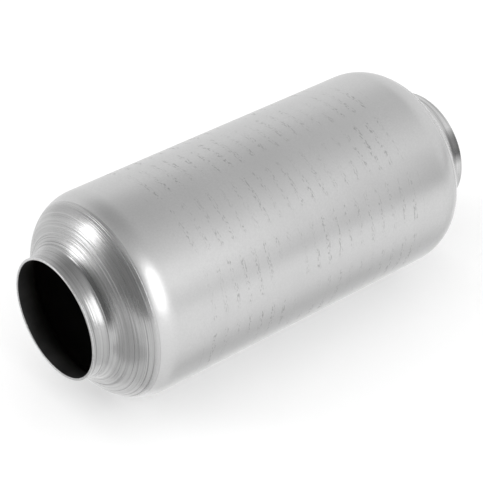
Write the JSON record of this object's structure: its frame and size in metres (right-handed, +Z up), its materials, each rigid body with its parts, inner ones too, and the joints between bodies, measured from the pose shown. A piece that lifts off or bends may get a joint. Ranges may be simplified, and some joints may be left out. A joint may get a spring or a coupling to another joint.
{
  "type": "catalytic converter",
  "caption": "Round stainless catalytic converter with spun, shouldered ends and open necks, holding honeycomb bricks in support mats.",
  "frame": {"origin": "on the axis of the tube, halfway between the two mouths", "axes": "+X along the axis with the gas flow, from the inlet neck to the outlet neck; +Z up, with the axis level as it is fitted under a car"},
  "size_m": [0.2302, 0.1016, 0.1016],
  "materials": {
    "stainless_tube": "satin",
    "coated_ceramic": "matte",
    "support_mat": "matte",
    "knitted_wire": "satin"
  },
  "bodies": {
    "root": {"converter_shell": "stainless_tube", "inlet_honeycomb": "coated_ceramic", "inlet_mat": "support_mat", "inlet_front_mesh_seal": "knitted_wire", "inlet_rear_mesh_seal": "knitted_wire", "outlet_honeycomb": "coated_ceramic", "outlet_mat": "support_mat", "outlet_front_mesh_seal": "knitted_wire", "outlet_rear_mesh_seal": "knitted_wire"}
  },
  "joints": []
}
